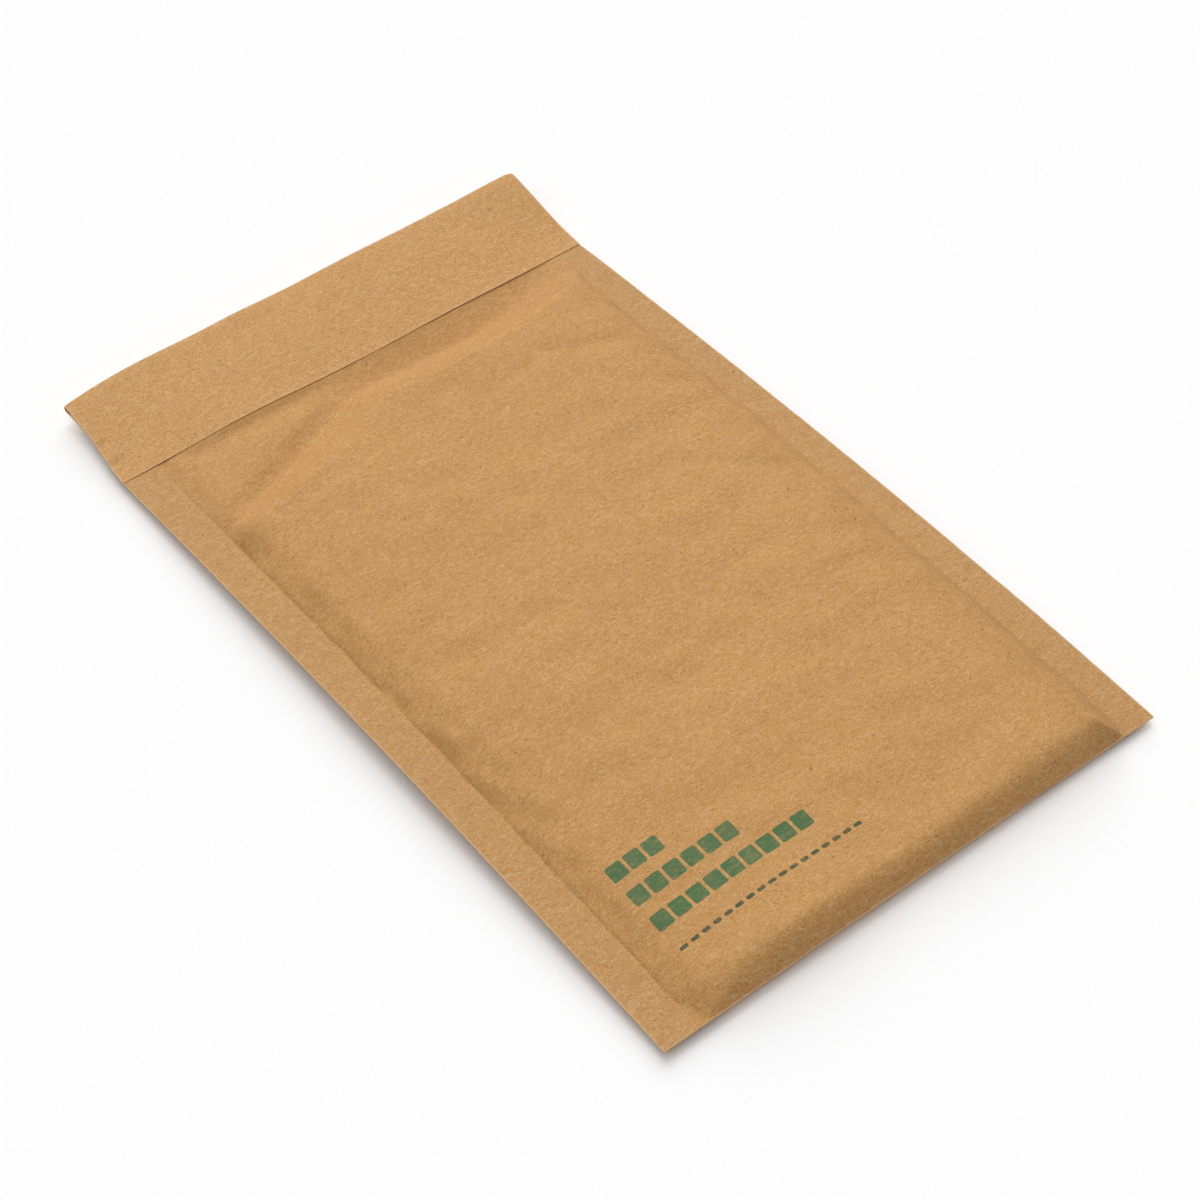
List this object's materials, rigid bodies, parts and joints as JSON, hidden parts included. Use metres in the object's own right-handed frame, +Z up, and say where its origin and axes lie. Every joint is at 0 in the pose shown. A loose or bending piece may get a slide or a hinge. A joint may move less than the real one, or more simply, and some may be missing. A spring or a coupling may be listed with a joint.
{
  "type": "padded envelope",
  "caption": "Sealed kraft paper mailer with a padded body, flat crimped side seams and a stuck-down folded flap.",
  "frame": {"origin": "centre of the envelope's footprint, on the table under it", "axes": "+Y along the length towards the folded flap end, +Z up out of the printed front, +X across to the right as seen from the front with the flap away from the viewer"},
  "size_m": [0.216, 0.371, 0.0185],
  "materials": {
    "kraft_paper": "uncoated brown kraft paper with fine fibres, matt"
  },
  "bodies": {
    "root": {"padded_envelope": "kraft_paper"}
  },
  "joints": []
}
